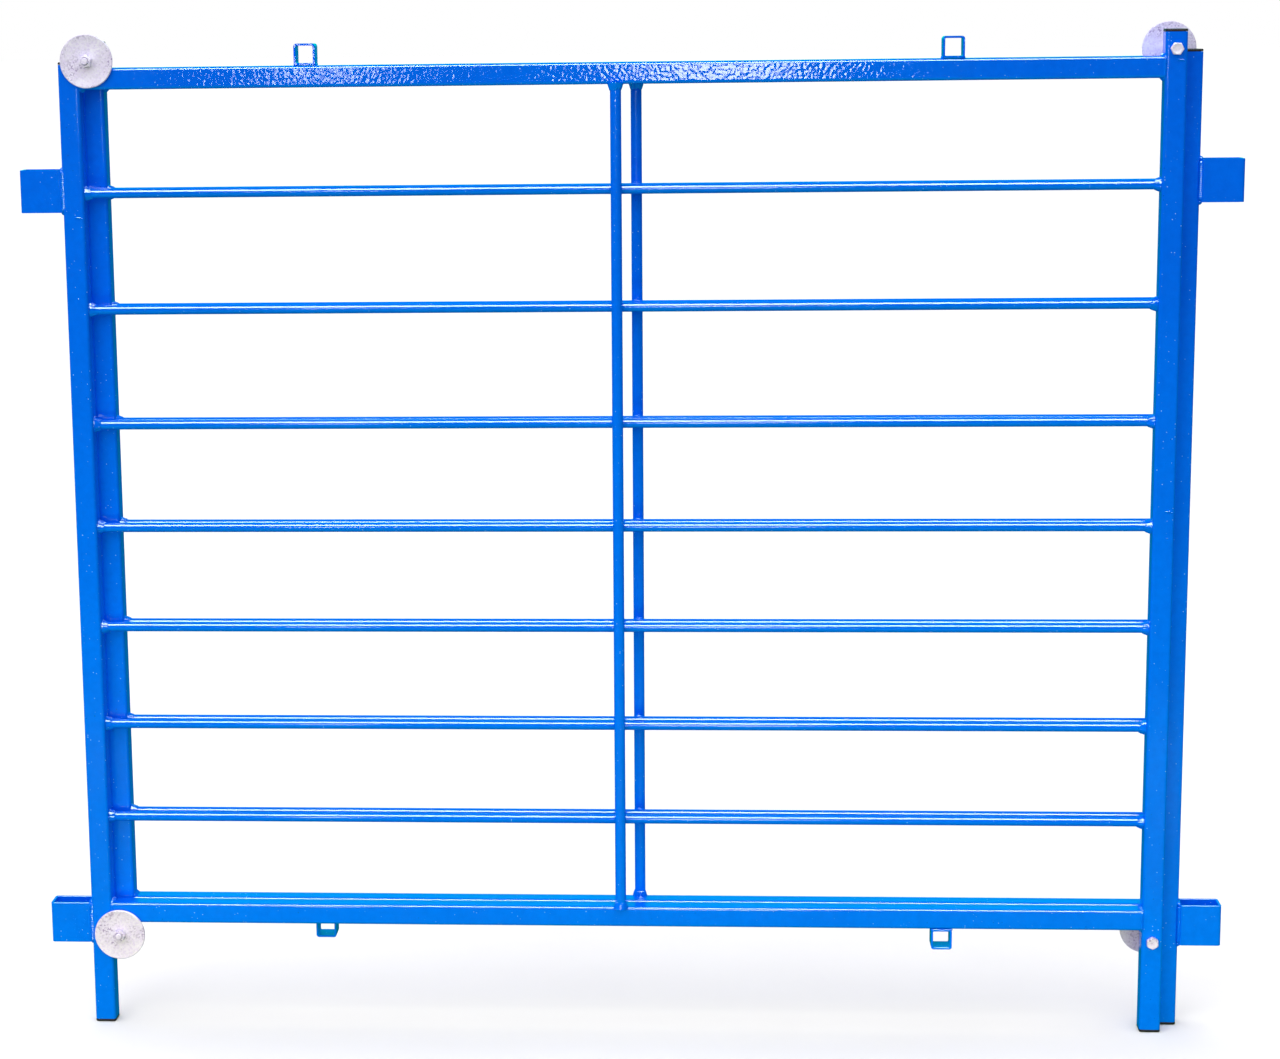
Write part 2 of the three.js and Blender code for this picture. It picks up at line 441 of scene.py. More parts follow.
def add_bead(shape, path, up, radius, name, depth=RIPPLE_DEPTH):
    """A weld bead along a path: overlapping ripples on a round section with uneven sides."""
    offset = random_offset(random.Random(name))
    points, step = resampled(path, BEAD_STEP)
    last = len(points) - 1
    rings = []
    for i, point in enumerate(points):
        along = (points[min(i + 1, last)] - points[max(i - 1, 0)]).normalized()
        side = along.cross(up).normalized()
        over = side.cross(along)
        from_end = min(i, last - i) * step
        left = max(0, 1 - from_end / (1.4 * radius))
        size = radius * max(0.2, math.sqrt(1 - left * left))
        size *= 1 + BEAD_UNEVEN * noise.noise(point / (5 * MM) + offset)
        ring = []
        for j in range(BEAD_SIDES):
            angle = 2 * math.pi * j / BEAD_SIDES
            lag = 0.6 * radius * (1 - math.sin(angle))
            ripple = 1 - depth * ((i * step + lag) / RIPPLE_PITCH % 1)
            ring.append(point + (side * math.cos(angle) + over * math.sin(angle)) * size * ripple)
        rings.append(ring)
    shape.loft(rings)


def add_collar(shape, centre, away, bar, name, reach, height, sag=0):
    """A weld all round a bar where it meets a face: wide at the face, and dying into the bar.
    It can sag over the face's edge on the panel's outer side."""
    chance = random.Random(name)
    offset = random_offset(chance)
    across = away.orthogonal().normalized()
    other = away.cross(across)
    ripples = round(2 * math.pi * (bar + reach) / RIPPLE_PITCH)
    start = chance.random()
    rows = [[] for _ in range(COLLAR_STEPS + 3)]
    for i in range(COLLAR_SIDES):
        turn = i / COLLAR_SIDES
        angle = 2 * math.pi * turn
        out = across * math.cos(angle) + other * math.sin(angle)
        uneven = noise.noise(out * 1.3 + offset) + 0.5 * noise.noise(out * 4 + offset)
        drop = sag * max(0, out.dot(OUTWARDS))
        wide = reach * (1 + 0.35 * uneven)
        tall = height * (1 + 0.3 * uneven)
        rows[0].append(centre + out * (bar - 1 * MM) - away * (drop + COLLAR_SINK))
        rows[1].append(centre + out * (bar + wide * 0.9) - away * (drop + COLLAR_SINK))
        for step in range(COLLAR_STEPS + 1):
            share = step / COLLAR_STEPS
            ripple = ((turn + start) * ripples + 0.5 * share) % 1
            flare = (1 - share) ** 1.5 * 0.45 + math.sqrt(1 - share * share) * 0.55
            radius = bar - 0.25 * MM + (wide + 0.25 * MM) * flare * (1 - 0.13 * ripple)
            level = share * tall - drop * (1 - share)
            rows[step + 2].append(centre + out * radius + away * level)
    shape.loft(rows, closed=True)


def add_spatter(shape, centre, name, spread, count):
    """Drops of weld spatter under the paint, on a tube's front, spread to both sides of a point."""
    chance = random.Random(name)
    across = Vector((0, 0, 1)).cross(OUTWARDS)
    up = OUTWARDS.cross(across)
    for _ in range(count):
        radius = chance.choice(DROP_SIZES)
        spot = centre + across * chance.uniform(-spread[0], spread[0])
        spot = spot + up * chance.uniform(-spread[1], spread[1])
        stretch = chance.uniform(0.8, 1.3)
        rings = []
        for share in (-0.25, 0.25, 0.6, 0.85):
            size = radius * math.sqrt(1 - share * share)
            at = spot + OUTWARDS * radius * share * 0.8
            rings.append([at + across * u * stretch + up * v for u, v in circle(size, DROP_SIDES)])
        shape.loft(rings)


# Materials
ENAMEL_DEEP = (0.0, 0.134, 0.88, 1)
ENAMEL_BRIGHT = (0.0, 0.158, 0.94, 1)
ENAMEL_CLOUD = (0.0, 0.108, 0.77, 1)
ENAMEL_DUST = (0.03, 0.36, 0.68, 1)
# A painted glint: the pale colour of the small raised specks
ENAMEL_PAINTED_GLINT = (0.35, 0.68, 1.0, 1)
ENAMEL_PINHOLE = (0.0, 0.03, 0.28, 1)
ZINC_DULL = (0.66, 0.57, 0.80, 1)
ZINC_BRIGHT = (0.90, 0.86, 0.96, 1)
ZINC_MARK = (0.27, 0.17, 0.42, 1)
PLASTIC_DARK = (0.008, 0.005, 0.009, 1)
PLASTIC_LIGHT = (0.024, 0.010, 0.018, 1)
PLASTIC_DUST = (0.14, 0.03, 0.09, 1)
FLOOR_DARK = (0.87, 0.865, 0.85, 1)
FLOOR_LIGHT = (0.91, 0.905, 0.89, 1)

# The orange peel and the zinc crystals: cells for each metre, and depth
PEEL_SCALE = 285
PEEL_DEPTH = 0.085 * MM
CRYSTAL_SCALE = 560
CRYSTAL_DEPTH = 0.05 * MM


def new_material(name):
    material = bpy.data.materials.new(name)
    material.use_nodes = True
    tree = material.node_tree
    return material, tree, tree.nodes["Principled BSDF"]


def add_node(tree, kind, inputs=None, **settings):
    made = tree.nodes.new(kind)
    for key, value in settings.items():
        setattr(made, key, value)
    for key, value in (inputs or {}).items():
        if isinstance(value, bpy.types.NodeSocket):
            tree.links.new(value, made.inputs[key])
        else:
            made.inputs[key].default_value = value
    return made


def object_coordinates(tree):
    return add_node(tree, "ShaderNodeTexCoord").outputs["Object"]


def noise_value(tree, coordinates, scale, detail=2, roughness=0.5):
    inputs = {"Vector": coordinates, "Scale": scale, "Detail": detail, "Roughness": roughness}
    return add_node(tree, "ShaderNodeTexNoise", inputs).outputs["Fac"]


def map_value(tree, value, from_low, from_high, to_low, to_high):
    inputs = {"Value": value, 1: from_low, 2: from_high, 3: to_low, 4: to_high}
    return add_node(tree, "ShaderNodeMapRange", inputs, clamp=True).outputs["Result"]


def mix_colour(tree, factor, a, b):
    inputs = {0: factor, 6: a, 7: b}  # the colour sockets of a Mix node
    return add_node(tree, "ShaderNodeMix", inputs, data_type="RGBA").outputs[2]


def add_math(tree, operation, a, b):
    return add_node(tree, "ShaderNodeMath", {0: a, 1: b}, operation=operation).outputs[0]


def add_bump(tree, height, strength, distance, normal=None):
    inputs = {"Height": height, "Strength": strength, "Distance": distance}
    if normal:
        inputs["Normal"] = normal
    return add_node(tree, "ShaderNodeBump", inputs).outputs["Normal"]


def sparse_dots(tree, coordinates, scale, size, share):
    """1 inside scattered dots and 0 elsewhere: only a share of the cells hold one."""
    inputs = {"Vector": coordinates, "Scale": scale}
    cells = add_node(tree, "ShaderNodeTexVoronoi", inputs, feature="F1")
    inside = map_value(tree, cells.outputs["Distance"], size, size * 0.6, 0, 1)
    separate = add_node(tree, "ShaderNodeSeparateColor", {"Color": cells.outputs["Color"]})
    chosen = map_value(tree, separate.outputs[0], 1 - share, 1 - share + 0.01, 0, 1)
    return add_math(tree, "MULTIPLY", inside, chosen)


def make_paint():
    """Glossy blue enamel: orange peel, uneven depth of colour, dust on top, raised specks painted
    pale as glints, and pinholes.
    """
    material, tree, shader = new_material("blue_enamel")
    where = object_coordinates(tree)
    depth = map_value(tree, noise_value(tree, where, 5, 3), 0.35, 0.65, 0, 1)
    colour = mix_colour(tree, depth, ENAMEL_DEEP, ENAMEL_BRIGHT)
    cloud = map_value(tree, noise_value(tree, where, 110, 4, 0.6), 0.35, 0.7, 0, 0.4)
    colour = mix_colour(tree, cloud, colour, ENAMEL_CLOUD)
    normal = add_node(tree, "ShaderNodeNewGeometry").outputs["Normal"]
    upward = add_node(tree, "ShaderNodeSeparateXYZ", {"Vector": normal}).outputs["Z"]
    facing_up = map_value(tree, upward, 0.75, 1, 0, 1)
    dust = map_value(tree, noise_value(tree, where, 140, 5, 0.65), 0.5, 0.78, 0, 0.10)
    dusty = add_math(tree, "MULTIPLY", dust, facing_up)
    colour = mix_colour(tree, dusty, colour, ENAMEL_DUST)
    # Small specks in clusters, raised a little by the bump below, with their pale colour a painted
    # glint
    painted_glint_clusters = map_value(tree, noise_value(tree, where, 11, 2), 0.42, 0.60, 0.15, 0.9)
    pale = add_math(tree, "MULTIPLY", sparse_dots(tree, where, 300, 0.2, 0.13), painted_glint_clusters)
    colour = mix_colour(tree, pale, colour, ENAMEL_PAINTED_GLINT)
    dark = sparse_dots(tree, where, 190, 0.14, 0.05)
    colour = mix_colour(tree, add_math(tree, "MULTIPLY", dark, 0.6), colour, ENAMEL_PINHOLE)
    tree.links.new(colour, shader.inputs["Base Color"])
    matt = map_value(tree, noise_value(tree, where, 35, 4), 0.3, 0.7, 0.05, 0.085)
    rough = add_math(tree, "ADD", matt, add_math(tree, "MULTIPLY", dusty, 1.2))
    tree.links.new(rough, shader.inputs["Roughness"])
    shader.inputs["Specular IOR Level"].default_value = 0.5

    # The orange peel is coarse on flat faces, and much fainter round corners and bars
    flow = add_bump(tree, noise_value(tree, where, 60, 2), 0.04, 0.1 * MM)
    unsigned = add_node(tree, "ShaderNodeVectorMath", {0: normal}, operation="ABSOLUTE")
    sides = add_node(tree, "ShaderNodeSeparateXYZ", {"Vector": unsigned.outputs[0]}).outputs
    largest = add_math(tree, "MAXIMUM", add_math(tree, "MAXIMUM", sides[0], sides[1]), sides[2])
    coarse = map_value(tree, largest, 0.990, 0.999, 0.25, 1)
    peel = add_bump(tree, noise_value(tree, where, PEEL_SCALE, 0), coarse, PEEL_DEPTH, flow)
    pits = add_math(tree, "SUBTRACT", pale, dark)
    tree.links.new(add_bump(tree, pits, 0.5, 0.1 * MM, peel), shader.inputs["Normal"])
    return material


def make_zinc():
    """Zinc plate: fine mottled crystals of uneven brightness, dull and faintly lavender."""
    material, tree, shader = new_material("zinc")
    where = object_coordinates(tree)
    warp = add_node(tree, "ShaderNodeTexNoise", {"Vector": where, "Scale": 260, "Detail": 3})
    bent = add_node(tree, "ShaderNodeVectorMath", {0: warp.outputs["Color"]}, operation="SCALE")
    bent.inputs["Scale"].default_value = 2.5 * MM
    inputs = {0: where, 1: bent.outputs[0]}
    warped = add_node(tree, "ShaderNodeVectorMath", inputs, operation="ADD").outputs[0]
    inputs = {"Vector": warped, "Scale": CRYSTAL_SCALE}
    cells = add_node(tree, "ShaderNodeTexVoronoi", inputs, feature="F1")
    split = add_node(tree, "ShaderNodeSeparateColor", {"Color": cells.outputs["Color"]})
    crystal = split.outputs[0]
    fine = noise_value(tree, where, 1500, 4, 0.7)
    cloud = noise_value(tree, where, 38, 3, 0.55)
    dull = map_value(tree, cloud, 0.40, 0.62, 0.12, 0.85)
    speck = map_value(tree, crystal, 0.45, 0.95, 0, 1)
    colour = mix_colour(tree, crystal, ZINC_DULL, ZINC_BRIGHT)
    colour = mix_colour(tree, add_math(tree, "MULTIPLY", speck, dull), colour, ZINC_MARK)
    tree.links.new(colour, shader.inputs["Base Color"])
    shader.inputs["Metallic"].default_value = 0.06
    shader.inputs["Specular IOR Level"].default_value = 0.3
    matt = map_value(tree, add_math(tree, "ADD", crystal, fine), 0.3, 1.6, 0.34, 0.55)
    tree.links.new(matt, shader.inputs["Roughness"])
    grain = add_bump(tree, fine, 0.4, CRYSTAL_DEPTH)
    tree.links.new(add_bump(tree, crystal, 0.3, CRYSTAL_DEPTH, grain), shader.inputs["Normal"])
    return material


def make_plastic():
    """Moulded black plastic: satin, with a fine grain, scuffs and a little dust."""
    material, tree, shader = new_material("black_cap_plastic")
    where = object_coordinates(tree)
    fine = noise_value(tree, where, 1400, 3, 0.6)
    cloud = noise_value(tree, where, 180, 4, 0.6)
    shade = map_value(tree, cloud, 0.3, 0.7, 0, 1)
    colour = mix_colour(tree, shade, PLASTIC_DARK, PLASTIC_LIGHT)
    dust = map_value(tree, noise_value(tree, where, 500, 5, 0.7), 0.50, 0.70, 0, 0.25)
    colour = mix_colour(tree, dust, colour, PLASTIC_DUST)
    tree.links.new(colour, shader.inputs["Base Color"])
    tree.links.new(map_value(tree, cloud, 0.3, 0.7, 0.34, 0.5), shader.inputs["Roughness"])
    shader.inputs["Specular IOR Level"].default_value = 0.12
    tree.links.new(add_bump(tree, fine, 0.4, 0.05 * MM), shader.inputs["Normal"])
    return material


def make_floor_material():
    """A pale matt floor with a barely visible mottle."""
    material, tree, shader = new_material("pale_floor")
    where = object_coordinates(tree)
    cloud = map_value(tree, noise_value(tree, where, 1.5, 5, 0.6), 0.3, 0.7, 0, 1)
    colour = mix_colour(tree, cloud, FLOOR_DARK, FLOOR_LIGHT)
    tree.links.new(colour, shader.inputs["Base Color"])
    tree.links.new(map_value(tree, cloud, 0, 1, 0.65, 0.8), shader.inputs["Roughness"])
    shader.inputs["Specular IOR Level"].default_value = 0
    grain = noise_value(tree, where, 250, 3)
    tree.links.new(add_bump(tree, grain, 0.1, 0.2 * MM), shader.inputs["Normal"])
    return material


paint = make_paint()
zinc = make_zinc()
plastic = make_plastic()
SHARP_ANGLE = math.radians(34)


def make_mesh(name, shape, material):
    mesh = bpy.data.meshes.new(name)
    mesh.from_pydata([tuple(point) for point in shape.points], [], shape.faces)
    work = bmesh.new()
    work.from_mesh(mesh)
    bmesh.ops.recalc_face_normals(work, faces=work.faces)
    work.to_mesh(mesh)
    work.free()
    mesh.polygons.foreach_set("use_smooth", [True] * len(mesh.polygons))
    mesh.set_sharp_from_angle(angle=SHARP_ANGLE)
    mesh.materials.append(material)
    made = bpy.data.objects.new(name, mesh)
    bpy.context.scene.collection.objects.link(made)
    return made


def finish_piece(panel, name, shape, material, body=None, nodes=()):
    """Makes a mesh of a shape in a panel's frame, and sets it on its body."""
    made = make_mesh(f"{panel}_{name}_finish", shape, material)
    made.data.transform(place[panel])
    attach(made, body or f"{panel}_panel")
    if nodes:
        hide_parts(*[f"{panel}_{node}" for node in nodes])


# Pieces of one panel
def make_uprights_and_rails(panel):
    tubes = {
        "socket_upright": "z",
        "slider_upright": "z",
        "bottom_rail": "x",
        "top_rail": "x",
    }
    for piece, axis in tubes.items():
        shape = Shape()
        add_tube(shape, local_box(panel, piece), axis, TUBE_CORNER, TUBE_WALL)
        finish_piece(panel, piece, shape, paint, nodes=[piece])


def make_bars(panel):
    bars = {f"rail_{i}": "x" for i in range(1, RAIL_COUNT + 1)}
    bars["mid_bar"] = "z"
    for piece, axis in bars.items():
        shape = Shape()
        add_bar(shape, local_box(panel, piece), axis)
        finish_piece(panel, piece, shape, paint, nodes=[piece])


def make_sockets_and_stops(panel):
    for piece in ("upper_socket", "lower_socket"):
        shape = Shape()
        add_tube(shape, local_box(panel, piece), "z", SOCKET_CORNER, SOCKET_WALL)
        finish_piece(panel, piece, shape, paint, nodes=[piece])
    for piece in ("top_stop", "bottom_stop"):
        shape = Shape()
        add_tube(shape, local_box(panel, piece), "y", TUBE_CORNER, STOP_WALL)
        finish_piece(panel, piece, shape, paint, nodes=[piece])


def make_caps(panel):
    for upright in ("socket_upright", "slider_upright"):
        for end, facing in (("foot_cap", -1), ("top_cap", 1)):
            piece = f"{upright}_{end}"
            shape = Shape()
            add_cap(shape, local_box(panel, piece), facing)
            finish_piece(panel, piece, shape, plastic, nodes=[piece])


def make_bolt(panel, which, centre, nut_start):
    low, high = local_box(panel, f"{which}_bolt")
    seat = low.y + HEAD_HEIGHT
    shape = Shape()
    add_hex_head(shape, centre, seat, HEAD_HEIGHT, -1, HEAD_TURNS[which])
    add_shank(shape, centre, seat - HEAD_HEIGHT / 2, nut_start - THREAD_SHOWN, high.y)
    finish_piece(panel, f"{which}_bolt", shape, zinc, nodes=[f"{which}_bolt"])


def make_nut(panel, which, centre, nut_start):
    shape = Shape()
    add_nut(shape, centre, nut_start, NUT_TURNS[which])
    finish_piece(panel, f"{which}_nut", shape, zinc, nodes=[f"{which}_nut"])


def make_roller(panel, which, centre):
    low, high = local_box(panel, f"{which}_roller")
    rim = (high.x - low.x) / 2
    profile = [
        (low.y + ROLLER_EDGE, BORE_RADIUS),
        (low.y, BORE_RADIUS + ROLLER_EDGE),
        (low.y, rim - ROLLER_EDGE),
        (low.y + ROLLER_EDGE, rim),
        (high.y - ROLLER_EDGE, rim),
        (high.y, rim - ROLLER_EDGE),
        (high.y, BORE_RADIUS + ROLLER_EDGE),
        (high.y - ROLLER_EDGE, BORE_RADIUS),
    ]
    shape = Shape()
    add_turned(shape, profile, "y", centre, ROLLER_SIDES, closed=True)
    body = f"{panel}_{which}_roller_set"
    finish_piece(panel, f"{which}_roller", shape, zinc, body, [f"{which}_roller"])


def make_disc(panel, which, centre):
    low, high = local_box(panel, f"{which}_disc")
    rim = (high.x - low.x) / 2
    face = rim - DISC_EDGE
    profile = [
        (low.y, BORE_RADIUS),
        (low.y, face),
        (low.y + DISC_EDGE, rim),
        (high.y - DISC_EDGE, rim),
        (high.y, face),
        (high.y, face - 0.5 * MM),
        (high.y - DISC_DISH, face - 0.9 * MM),
        (high.y - DISC_DISH, BORE_RADIUS + 6 * MM),
        (high.y, BORE_RADIUS + 4.6 * MM),
        (high.y, BORE_RADIUS),
    ]
    shape = Shape()
    add_turned(shape, profile, "y", centre, DISC_SIDES, closed=True)
    body = f"{panel}_{which}_roller_set"
    finish_piece(panel, f"{which}_disc", shape, zinc, body, [f"{which}_disc"])


def make_bolt_set(panel, which):
    centre = local_middle(panel, f"{which}_nut")
    nut_start = local_box(panel, f"{which}_nut")[0].y
    make_bolt(panel, which, centre, nut_start)
    make_nut(panel, which, centre, nut_start)
    make_roller(panel, which, centre)
    make_disc(panel, which, centre)


def make_frame_welds(panel):
    """The seams where the top and bottom rails meet the uprights."""
    for piece in ("bottom_rail", "top_rail"):
        low, high = local_box(panel, piece)
        shape = Shape()
        for end, x, inwards in (("outer", low.x, 1), ("inner", high.x, -1)):
            x -= inwards * GAP_MIDDLE
            front = low.y + SEAM_RADIUS - SEAM_PROUD
            back = high.y - SEAM_RADIUS + SLIDE_PROUD
            near, far = low.z + SEAM_START, high.z - SEAM_START
            name = f"{panel} {piece} {end}"
            seam = [Vector((x, front, near)), Vector((x, front, far))]
            add_bead(shape, seam, OUTWARDS, SEAM_RADIUS, name + " front", DEEP_RIPPLE)
            seam = [Vector((x, back, near)), Vector((x, back, far))]
            add_bead(shape, seam, INWARDS, SEAM_RADIUS, name + " back")
            for side, z, up in (("top", high.z, 1), ("under", low.z, -1)):
                corner_x = x - inwards * FILLET_SINK
                level = z - up * FILLET_SINK
                start, stop = low.y + SEAM_START, high.y - SEAM_STOP
                seam = [Vector((corner_x, start, level)), Vector((corner_x, stop, level))]
                up_and_in = Vector((inwards, 0, up)).normalized()
                add_bead(shape, seam, up_and_in, FILLET_RADIUS, name + side)
            beside = Vector((x + inwards * 14 * MM, low.y, (low.z + high.z) / 2))
            add_spatter(shape, beside, name + " drops", spread=(12 * MM, 9 * MM), count=5)
        finish_piece(panel, f"{piece}_welds", shape, paint)


def make_rail_welds(panel):
    """The collars where the round rails meet the uprights."""
    for i in range(1, RAIL_COUNT + 1):
        low, high = local_box(panel, f"rail_{i}")
        centre = (low + high) / 2
        radius = (high.z - low.z) / 2
        shape = Shape()
        for end, x, inwards in (("outer", low.x, 1), ("inner", high.x, -1)):
            at = Vector((x - inwards * COLLAR_SINK, centre.y, centre.z))
            name = f"{panel} rail {i} {end}"
            add_collar(shape, at, Vector((inwards, 0, 0)), radius, name, **RAIL_COLLAR)
        finish_piece(panel, f"rail_{i}_welds", shape, paint)


def make_mid_bar_welds(panel):
    """The mid bar's foot and top, and a small bead above and below each rail it crosses."""
    low, high = local_box(panel, "mid_bar")
    centre = (low + high) / 2
    radius = (high.x - low.x) / 2
    shape = Shape()
    for end, z, away in (("foot", low.z, 1), ("top", high.z, -1)):
        at = Vector((centre.x, centre.y, z - away * COLLAR_SINK))
        name = f"{panel} mid bar {end}"
        add_collar(shape, at, Vector((0, 0, away)), radius, name, **MID_BAR_COLLAR)
    for i in range(1, RAIL_COUNT + 1):
        rail_low, rail_high = local_box(panel, f"rail_{i}")
        rail = (rail_low + rail_high) / 2
        y = (rail_low.y + high.y) / 2 - CROSSING_FORWARD
        for side, up in (("over", 1), ("under", -1)):
            level = rail.z + up * CROSSING_LEVEL
            path = []
            for step in range(CROSSING_STEPS + 1):
                across = (step / CROSSING_STEPS * 2 - 1) * CROSSING_HALF
                path.append(Vector((centre.x + across, y, level + up * abs(across) * 0.1)))
            name = f"{panel} crossing {i} {side}"
            add_bead(shape, path, Vector((0, 0, up)), CROSSING_RADIUS, name)
    finish_piece(panel, "mid_bar_welds", shape, paint)


def make_socket_welds(panel):
    """The upright seams between the sockets and the socket upright."""
    upright_low, upright_high = local_box(panel, "socket_upright")
    for piece in ("upper_socket", "lower_socket"):
        low, high = local_box(panel, piece)
        shape = Shape()
        x = (high.x + upright_low.x) / 2
        name = f"{panel} {piece}"
        chance = random.Random(name)
        front = low.y + 1.9 * MM
        back = upright_high.y + 1.4 * MM
        path = []
        for step in range(SOCKET_SEAM_STEPS + 1):
            share = step / SOCKET_SEAM_STEPS
            z = high.z - 0.8 * MM - share * (high.z - low.z - 1.6 * MM)
            wander = chance.uniform(-SOCKET_SEAM_WANDER, SOCKET_SEAM_WANDER)
            path.append(Vector((x + wander, front, z)))
        seam_name = name + " front"
        add_bead(shape, path, OUTWARDS, SOCKET_SEAM_RADIUS, seam_name, SOCKET_SEAM_RIPPLE)
        path = [Vector((x, back, high.z - 2 * MM)), Vector((x, back, low.z + 2 * MM))]
        add_bead(shape, path, INWARDS, SOCKET_BACK_RADIUS, name + " back")
        for end, z in (("over", high.z), ("under", low.z)):
            path = [Vector((x, front + 0.4 * MM, z)), Vector((x, back, z))]
            add_bead(shape, path, Vector((1, 0, 0)), RETURN_RADIUS, f"{name} {end}")
        middle = (low.z + high.z) / 2
        beside = Vector((x - 14 * MM, low.y, middle))
        add_spatter(shape, beside, name + " left drops", spread=(9 * MM, 22 * MM), count=22)
        beside = Vector((x + 11 * MM, upright_low.y, middle))
        add_spatter(shape, beside, name + " right drops", spread=(6 * MM, 26 * MM), count=18)
        finish_piece(panel, f"{piece}_welds", shape, paint)


def make_tacks(panel):
    """Short tacks across the uprights: below the upper socket, and on the slider upright."""
    chance = random.Random(f"{panel} tacks")
    socket_low = local_box(panel, "upper_socket")[0]
    rail_high = local_box(panel, "top_rail")[1]
    tacks = [
        ("socket_upright", socket_low.z - 6 * MM),
        ("slider_upright", rail_high.z - 5 * MM),
        ("slider_upright", local_middle(panel, f"rail_{MIDDLE_RAIL}").z + 20 * MM),
    ]
    shape = Shape()
    for index, (upright, z) in enumerate(tacks):
        low, high = local_box(panel, upright)
        right = high.x - TUBE_CORNER
        y = low.y + TACK_SINK
        slope = chance.uniform(-0.3, 0.3) * MM
        path = [Vector((right - TACK_LENGTH, y, z + slope)), Vector((right, y, z))]
        add_bead(shape, path, OUTWARDS, TACK_RADIUS, f"{panel} tack {index}")
        tail = [Vector((right, y, z)), Vector((right + 0.4 * MM, y, z - TAIL_LENGTH))]
        add_bead(shape, tail, OUTWARDS, TACK_RADIUS * 0.8, f"{panel} tail {index}")
        beside = Vector((high.x - 8 * MM, low.y, z - 20 * MM))
        drops_name = f"{panel} drops {index}"
        add_spatter(shape, beside, drops_name, spread=(7 * MM, 30 * MM), count=9)
    finish_piece(panel, "tacks", shape, paint)


def make_stop_welds(panel):
    """The fillets at both sides of the stops, on the rails."""
    for piece, up in (("top_stop", 1), ("bottom_stop", -1)):
        low, high = local_box(panel, piece)
        shape = Shape()
        z = low.z if up > 0 else high.z
        for side, x, out in (("near", low.x, -1), ("far", high.x, 1)):
            corner_x = x - out * STOP_SINK
            level = z + up * STOP_SINK
            start = Vector((corner_x, low.y + 1.5 * MM, level))
            stop = Vector((corner_x, high.y - SEAM_STOP, level))
            name = f"{panel} {piece} {side}"
            up_and_out = Vector((out, 0, up)).normalized()
            add_bead(shape, [start, stop], up_and_out, STOP_RADIUS, name)
        finish_piece(panel, f"{piece}_welds", shape, paint)


for panel in PANELS:
    make_uprights_and_rails(panel)
    make_bars(panel)
    make_sockets_and_stops(panel)
    make_caps(panel)
    for which in BOLTS:
        make_bolt_set(panel, which)
    make_frame_welds(panel)
    make_rail_welds(panel)
    make_mid_bar_welds(panel)
    make_socket_welds(panel)
    make_stop_welds(panel)
    make_tacks(panel)


# Floor, lights and camera
FLOOR_RINGS = (0.5, 1.5, 4, 10, 25, 60, 120)
FLOOR_SIDES = 96


def make_floor():
    """A wide pale disc, so that its edge is lost at the horizon."""
    points = []
    faces = [tuple(range(FLOOR_SIDES))]
    for row, radius in enumerate(FLOOR_RINGS):
        points.extend((x, y, 0) for x, y in circle(radius, FLOOR_SIDES))
        if row:
            inner = (row - 1) * FLOOR_SIDES
            outer = row * FLOOR_SIDES
            for i in range(FLOOR_SIDES):
                j = (i + 1) % FLOOR_SIDES
                faces.append((inner + i, outer + i, outer + j, inner + j))
    mesh = bpy.data.meshes.new("floor")
    mesh.from_pydata(points, [], faces)
    mesh.materials.append(make_floor_material())
    floor = bpy.data.objects.new("floor", mesh)
    bpy.context.scene.collection.objects.link(floor)
    floor.visible_glossy = False
    floor.visible_diffuse = False


def add_softbox(name, location, target, size, power, colour, seen_in):
    """A rectangular light that is seen in diffuse surfaces or in gloss, but not by the camera."""
    data = bpy.data.lights.new(name, "AREA")
    data.color = colour
    data.shape = "RECTANGLE"
    data.size, data.size_y = size
    data.energy = power
    light = bpy.data.objects.new(name, data)
    light.location = location
    light.rotation_mode = "QUATERNION"
    light.rotation_quaternion = (Vector(target) - Vector(location)).to_track_quat("-Z", "Y")
    light.visible_camera = False
    light.visible_diffuse = seen_in == "diffuse"
    light.visible_glossy = seen_in == "gloss"
    bpy.context.scene.collection.objects.link(light)


# What the paint's gloss reflects. Bright windows behind the camera: how far right they are,
# half their width, and their share of the brightness
WINDOWS = ((-0.134, 0.011, 0.9), (0.004, 0.029, 0.95))
WINDOW_COLOUR = (0.95, 1.0, 1.0, 1)
WINDOW_STRENGTH = 22
REFLECTED_WALL = (0.0, 0.03, 0.05, 1)
REFLECTED_GROUND = (0.0, 1.2, 0.45, 1)
REFLECTED_FAR_LOW = (0.0, 0.24, 0.18, 1)
REFLECTED_FAR_HIGH = (0.0, 0.95, 0.60, 1)
DOME_COLOUR = (0.98, 0.98, 1.0, 1)
WHITE = (1, 1, 1, 1)


